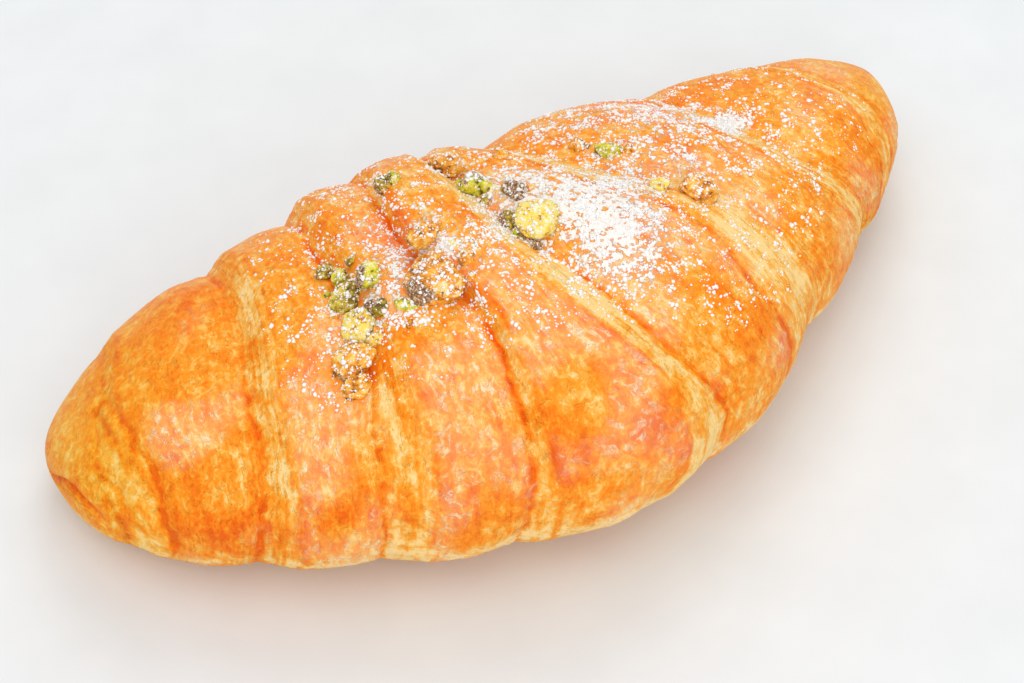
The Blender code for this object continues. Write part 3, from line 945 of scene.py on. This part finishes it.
def nut_frame(x, angle, high, turn):
    """Middle and axes of a nut lying on the crust."""
    here = surface(x, angle, crust_height(x, angle))
    step, turn_step = NUT_SLOPE_OVER
    along = surface(x + step, angle) - surface(x - step, angle)
    round_it = surface(x, angle + turn_step) - surface(x, angle - turn_step)
    normal = np.cross(round_it, along)
    normal = normal / np.linalg.norm(normal) * (1 if normal[2] > 0 else -1)
    along = along / np.linalg.norm(along)
    side = np.cross(normal, along)
    ahead = along * math.cos(math.radians(turn)) + side * math.sin(math.radians(turn))
    rise = (high + 2 * NUT_SINK) / 2
    return here + normal * (high - rise) - ORIGIN, ahead, np.cross(normal, ahead), normal, rise


def nut_block(index):
    """Points and faces of a chopped piece of unit half sizes, with flat cuts and worn corners."""
    rng = np.random.default_rng(NUT_SEED + index)
    ways, faces = lump_template(NUT_DETAIL)
    count = rng.integers(*NUT_PLANES)
    cuts = rng.standard_normal((count, 3))
    cuts = cuts / np.linalg.norm(cuts, axis=1, keepdims=True)
    depth = rng.uniform(*NUT_DEPTHS, count)
    reach = np.clip(ways @ cuts.T, 0, None) / depth
    block = ways / (((reach**NUT_CORNERS).sum(1) + NUT_ROUNDING) ** (1 / NUT_CORNERS))[:, None]
    dent = sum(deep * perlin((block + (index, 0, 0)) * many) for deep, many in NUT_DENTS)
    block = block * (1 + dent)[:, None]
    block = block / np.abs(block).max(0)
    return block, faces, dent / DENT_FULL


def chopped_nut(index, x, angle, long, wide, high, turn):
    """Points, faces, skin side and dents of one chopped piece at its real size and place."""
    middle, ahead, aside, normal, rise = nut_frame(x, angle, high, turn)
    block, faces, dent = nut_block(index)
    axes = np.stack((ahead, aside, normal))
    half = block * (long / 2 * NUT_GROWTH, wide / 2 * NUT_GROWTH, rise * NUT_GROWTH)
    wander = np.random.default_rng(SKIN_SEED + index).standard_normal(3)
    skin_side = SKIN_SIDE + SKIN_WANDER * wander
    skin_side = skin_side / np.linalg.norm(skin_side)
    return middle + half @ axes, faces, block @ axes @ skin_side, dent


def make_nuts(kind, material):
    """All the chopped pieces of one kind, joined."""
    rows = [(i, row[1:]) for i, row in enumerate(NUTS + NUT_CRUMBS) if row[0] == kind]
    nuts = [chopped_nut(i, *row) for i, row in rows]
    points, faces = repeated([nut[0] for nut in nuts], nuts[0][1])
    mesh = bpy.data.meshes.new("pistachio_" + kind)
    mesh.from_pydata((inside_model(points) * MM).tolist(), [], faces.tolist())
    for name, part in (("flesh", 2), ("dent", 3)):
        values = np.concatenate([nut[part] for nut in nuts])
        mesh.attributes.new(name, "FLOAT", "POINT").data.foreach_set("value", values.astype(np.float32))
    return finish_mesh(mesh, material)


# ---- Materials ----


class Look:
    """A Principled material and short calls for the nodes that colour it."""

    def __init__(self, name, roughness=0.5, specular=0.5, coat=0.0):
        self.material = bpy.data.materials.new(name)
        self.material.use_nodes = True
        self.tree = self.material.node_tree
        self.shader = self.tree.nodes["Principled BSDF"]
        self.shader.inputs["Roughness"].default_value = roughness
        self.shader.inputs["Specular IOR Level"].default_value = specular
        self.shader.inputs["Coat Weight"].default_value = coat
        self.shader.inputs["Coat Roughness"].default_value = 0.25

    def put(self, socket, value):
        if isinstance(value, bpy.types.NodeSocket):
            self.tree.links.new(value, socket)
        else:
            socket.default_value = value

    def attribute(self, name, output="Fac"):
        made = self.tree.nodes.new("ShaderNodeAttribute")
        made.attribute_name = name
        return made.outputs[output]

    def place(self):
        return self.tree.nodes.new("ShaderNodeTexCoord").outputs["Object"]

    def stretched(self, vector, scale):
        made = self.tree.nodes.new("ShaderNodeMapping")
        made.inputs["Scale"].default_value = scale
        self.put(made.inputs["Vector"], vector)
        return made.outputs["Vector"]

    def noise(self, vector, settings):
        """Noise by its scale, detail, roughness and, if given, distortion."""
        made = self.tree.nodes.new("ShaderNodeTexNoise")
        self.put(made.inputs["Vector"], vector)
        for socket, value in zip(("Scale", "Detail", "Roughness", "Distortion"), settings):
            made.inputs[socket].default_value = value
        return made.outputs["Fac"]

    def drawn_noise(self, vector, stretch_and_settings):
        """Noise drawn out along a vector's axes."""
        stretch, settings = stretch_and_settings
        return self.noise(self.stretched(vector, stretch), settings)

    def math(self, operation, a, b=0.0, clamp=False):
        made = self.tree.nodes.new("ShaderNodeMath")
        made.operation = operation
        made.use_clamp = clamp
        self.put(made.inputs[0], a)
        self.put(made.inputs[1], b)
        return made.outputs[0]

    def add(self, a, b):
        return self.math("ADD", a, b)

    def times(self, a, b):
        return self.math("MULTIPLY", a, b)

    def about(self, value, strength):
        """A noise centred on zero, times a strength."""
        return self.times(self.math("SUBTRACT", value, 0.5), strength)

    def between(self, value, low, high):
        made = self.tree.nodes.new("ShaderNodeMapRange")
        made.interpolation_type = "SMOOTHSTEP"
        self.put(made.inputs["Value"], value)
        made.inputs["From Min"].default_value = low
        made.inputs["From Max"].default_value = high
        return made.outputs["Result"]

    def ramp(self, value, stops):
        made = self.tree.nodes.new("ShaderNodeValToRGB")
        elements = made.color_ramp.elements
        while len(elements) < len(stops):
            elements.new(0.5)
        for element, (place, colour) in zip(elements, stops):
            element.position = place
            element.color = linear(colour)
        self.put(made.inputs["Fac"], value)
        return made.outputs["Color"]

    def mix(self, share, a, b):
        made = self.tree.nodes.new("ShaderNodeMix")
        made.data_type = "RGBA"
        self.put(made.inputs[0], share)
        self.put(made.inputs[6], a)
        self.put(made.inputs[7], b)
        return made.outputs[2]

    def bump(self, height, distance):
        made = self.tree.nodes.new("ShaderNodeBump")
        made.inputs["Distance"].default_value = distance
        self.put(made.inputs["Height"], height)
        self.put(self.shader.inputs["Normal"], made.outputs["Normal"])

    def colour(self, value):
        self.put(self.shader.inputs["Base Color"], value)

    def roughness(self, value):
        self.put(self.shader.inputs["Roughness"], value)


def linear(colour):
    """An sRGB colour of 0 to 255 as the linear colour that nodes hold."""
    parts = [c / 255 for c in colour]
    return tuple(p / 12.92 if p <= 0.04045 else ((p + 0.055) / 1.055) ** 2.4 for p in parts) + (1.0,)


def curl_lines(look, place):
    """1 on thin wandering lines, 0 off them."""
    away = look.math("ABSOLUTE", look.math("SUBTRACT", look.noise(place, CURL_LINES), 0.5))
    return look.math("SUBTRACT", 1.0, look.between(away, *CURL_LINES_FROM_TO))


def fleck_shades(look, place):
    """Browning by pale flecks and by dark ones."""
    flecks = look.noise(look.stretched(place, (1.0, 1.0, 0.6)), FLECKS)
    pale = look.times(look.between(flecks, *PALE_FLECKS_FROM_TO), PALE_FLECKS)
    return pale, look.times(look.between(flecks, *DARK_FLECKS_FROM_TO), BROWN_FLECKS)


def sugar_film(look, place):
    """How far the finest sugar covers the crust: specks and a haze, both only in the dense drifts."""
    frost = look.attribute("frost")
    drift = look.noise(place, POWDER_DRIFT)
    level = look.add(look.noise(place, POWDER), look.about(drift, 0.50))
    level = look.add(level, look.times(frost, 0.38))
    specks = look.times(look.between(level, *SPECKS_FROM_TO), look.between(frost, 0.22, 0.50))
    haze = look.times(look.between(frost, 0.25, 0.95), look.between(drift, 0.35, 0.65))
    return look.math("MAXIMUM", specks, look.times(haze, HAZE_COVER))


def crust_material():
    """Egg-washed pastry: pale layered faces, mottled orange skin, golden tips, painted sheen as a pale
    highlight tint, and a film of sugar.
    """
    look = Look("baked_crust", specular=0.08, coat=0.03)
    place = look.place()
    strand = look.attribute("strand", "Vector")
    layers = look.attribute("layers")
    painted_sheen = look.attribute("painted_sheen")
    threads = look.drawn_noise(strand, THREADS)
    mottle = look.noise(place, MOTTLE)
    grain = look.noise(place, GRAIN)
    dabs = look.between(look.drawn_noise(strand, DABS), *DABS_FROM_TO)
    curls = look.times(curl_lines(look, place), look.add(0.25, dabs))
    added = (
        look.about(mottle, BROWN_MOTTLE),
        look.about(look.drawn_noise(strand, STROKES), BROWN_STROKES),
        look.about(grain, BROWN_GRAIN),
        *fleck_shades(look, place),
        look.times(look.about(threads, BROWN_THREADS), layers),
        # paler curl lines only where sheen is painted: painted sheen
        look.times(look.about(curls, PALE_CURL_LINES), painted_sheen),
    )
    brown = look.attribute("browning_and_painted_light")
    for shade in added:
        brown = look.add(brown, shade)
    pastry = look.mix(look.attribute("gold"), look.ramp(brown, BAKED), look.ramp(brown, GOLDEN))
    # Painted sheen: the pale highlight tint mixed in on curls and dabs, and a little all over, where sheen is
    # painted.
    bright = look.math("MAXIMUM", look.between(curls, 0.2, 1.0), look.times(dabs, SHEEN_ON_DABS))
    sheen = look.times(look.times(painted_sheen, bright), SHEEN_ON_CURLS)
    sheen = look.add(sheen, look.times(painted_sheen, SHEEN_ALL_OVER))
    pastry = look.mix(sheen, pastry, linear(SHEEN))
    cover = sugar_film(look, place)
    look.colour(look.mix(look.times(cover, FILM_COVER), pastry, linear(SUGAR_WHITE)))
    dull = look.add(0.34, look.times(layers, 0.2))
    dull = look.add(dull, look.about(mottle, 0.4))
    look.roughness(look.math("ADD", dull, look.times(cover, 0.4), clamp=True))
    height = look.add(look.times(mottle, 0.7), look.times(grain, 0.22))
    height = look.add(height, look.times(curls, 0.20))
    height = look.add(height, look.times(look.times(threads, layers), 0.6))
    look.bump(look.add(height, look.times(cover, 0.5)), 0.0005)
    return look.material


def nut_material(kind, flesh_stops, skin_from):
    """Nut flesh in uneven patches, with papery skin on one side, pits darkened as painted shade and a dusting
    of sugar.
    """
    look = Look("pistachio_" + kind, roughness=0.42, specular=0.25, coat=0.05)
    place = look.place()
    patch = look.noise(place, NUT_PATCH)
    mottle = look.noise(place, NUT_MOTTLE)
    grain = look.noise(place, NUT_GRAIN)
    tone = look.add(mottle, look.about(grain, 0.4))
    tone = look.add(tone, look.about(patch, 0.8))
    # Darker in the dents' hollows and lighter on their bumps: painted shade.
    tone = look.add(tone, look.times(look.attribute("dent"), 0.34))
    flesh = look.ramp(tone, flesh_stops)
    skin = look.ramp(grain, NUT_SKIN)
    side = look.add(look.attribute("flesh"), look.about(mottle, 1.2))
    body = look.mix(look.between(side, skin_from, skin_from + 0.12), flesh, skin)
    powder = look.between(look.noise(place, NUT_POWDER), *NUT_POWDER_FROM_TO)
    look.colour(look.mix(powder, body, linear(SUGAR_WHITE)))
    look.roughness(look.add(0.34, look.times(grain, 0.25)))
    look.bump(look.add(mottle, look.times(grain, 0.5)), 0.0005)
    return look.material


def sugar_material(name):
    """Matt white sugar with a fine grain."""
    look = Look(name, roughness=0.8, specular=0.3)
    grain = look.noise(look.place(), SUGAR_GRAIN)
    look.colour(look.ramp(grain, SUGAR_TONES))
    look.roughness(look.add(0.70, look.times(grain, 0.25)))
    look.bump(grain, 0.0001)
    return look.material


# ---- Floor, light and camera ----


def make_floor():
    """A plain pale floor at the croissant's underside."""
    bm = bmesh.new()
    bmesh.ops.create_grid(bm, x_segments=FLOOR_CELLS, y_segments=FLOOR_CELLS, size=FLOOR_SIZE / 2)
    mesh = bpy.data.meshes.new("floor")
    bm.to_mesh(mesh)
    bm.free()
    look = Look("floor", roughness=0.6, specular=0.2)
    grain = look.noise(look.place(), FLOOR_GRAIN)
    look.colour(look.ramp(grain, FLOOR_TONES))
    mesh.materials.append(look.material)
    floor = bpy.data.objects.new("floor", mesh)
    bpy.context.scene.collection.objects.link(floor)


def add_softbox(name, place, power, size):
    """A square area light that faces the croissant; place in metres, power in watts."""
    lamp = bpy.data.lights.new(name, "AREA")
    lamp.shape = "SQUARE"
    lamp.size = size
    lamp.energy = power
    box = bpy.data.objects.new(name, lamp)
    box.location = place
    box.rotation_euler = (Vector(LIT_SPOT) - Vector(place)).to_track_quat("-Z", "Y").to_euler()
    bpy.context.scene.collection.objects.link(box)


def make_lights():
    """Three soft lights in an even white studio."""
    for softbox in SOFTBOXES:
        add_softbox(*softbox)
    world = bpy.data.worlds.new("studio")
    world.use_nodes = True
    background = world.node_tree.nodes["Background"]
    background.inputs["Color"].default_value = (1.0, 1.0, 1.0, 1.0)
    background.inputs["Strength"].default_value = STUDIO_LIGHT
    bpy.context.scene.world = world
    bpy.context.scene.view_settings.view_transform = "Standard"


def make_camera():
    """The camera where the photograph was taken from."""
    turn, rise = math.radians(CAMERA_AZIMUTH), math.radians(CAMERA_ELEVATION)
    right = Vector((math.cos(turn), math.sin(turn), 0))
    ahead = Vector((-math.sin(turn) * math.cos(rise), math.cos(turn) * math.cos(rise), -math.sin(rise)))
    up = right.cross(ahead)
    roll = math.radians(CAMERA_ROLL)
    rolled_right = right * math.cos(roll) + up * math.sin(roll)
    rolled_up = up * math.cos(roll) - right * math.sin(roll)
    camera = bpy.data.objects.new("camera", bpy.data.cameras.new("camera"))
    camera.data.lens = CAMERA_LENS
    camera.data.clip_start = 0.01
    spot = (Vector(CAMERA_TARGET) - ahead * CAMERA_DISTANCE) * MM
    turned = Matrix((rolled_right, rolled_up, -ahead)).transposed().to_4x4()
    camera.matrix_world = Matrix.Translation(spot) @ turned
    bpy.context.scene.collection.objects.link(camera)
    bpy.context.scene.camera = camera


def joined(pieces):
    """A mesh of several pieces' faces, to scatter sugar on; it never enters the scene."""
    bm = bmesh.new()
    for piece in pieces:
        bm.from_mesh(piece.data)
    mesh = bpy.data.meshes.new("all_nuts")
    bm.to_mesh(mesh)
    bm.free()
    return mesh


def main():
    """The whole scene around the frame's model."""
    make_camera()
    make_floor()
    make_lights()
    field = Crust()
    crust = field.build()
    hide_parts("croissant")
    nuts = [make_nuts(kind, nut_material(kind, *looks)) for kind, looks in NUT_KINDS.items()]
    make_sugar(crust.data, field.frost, joined(nuts))


main()
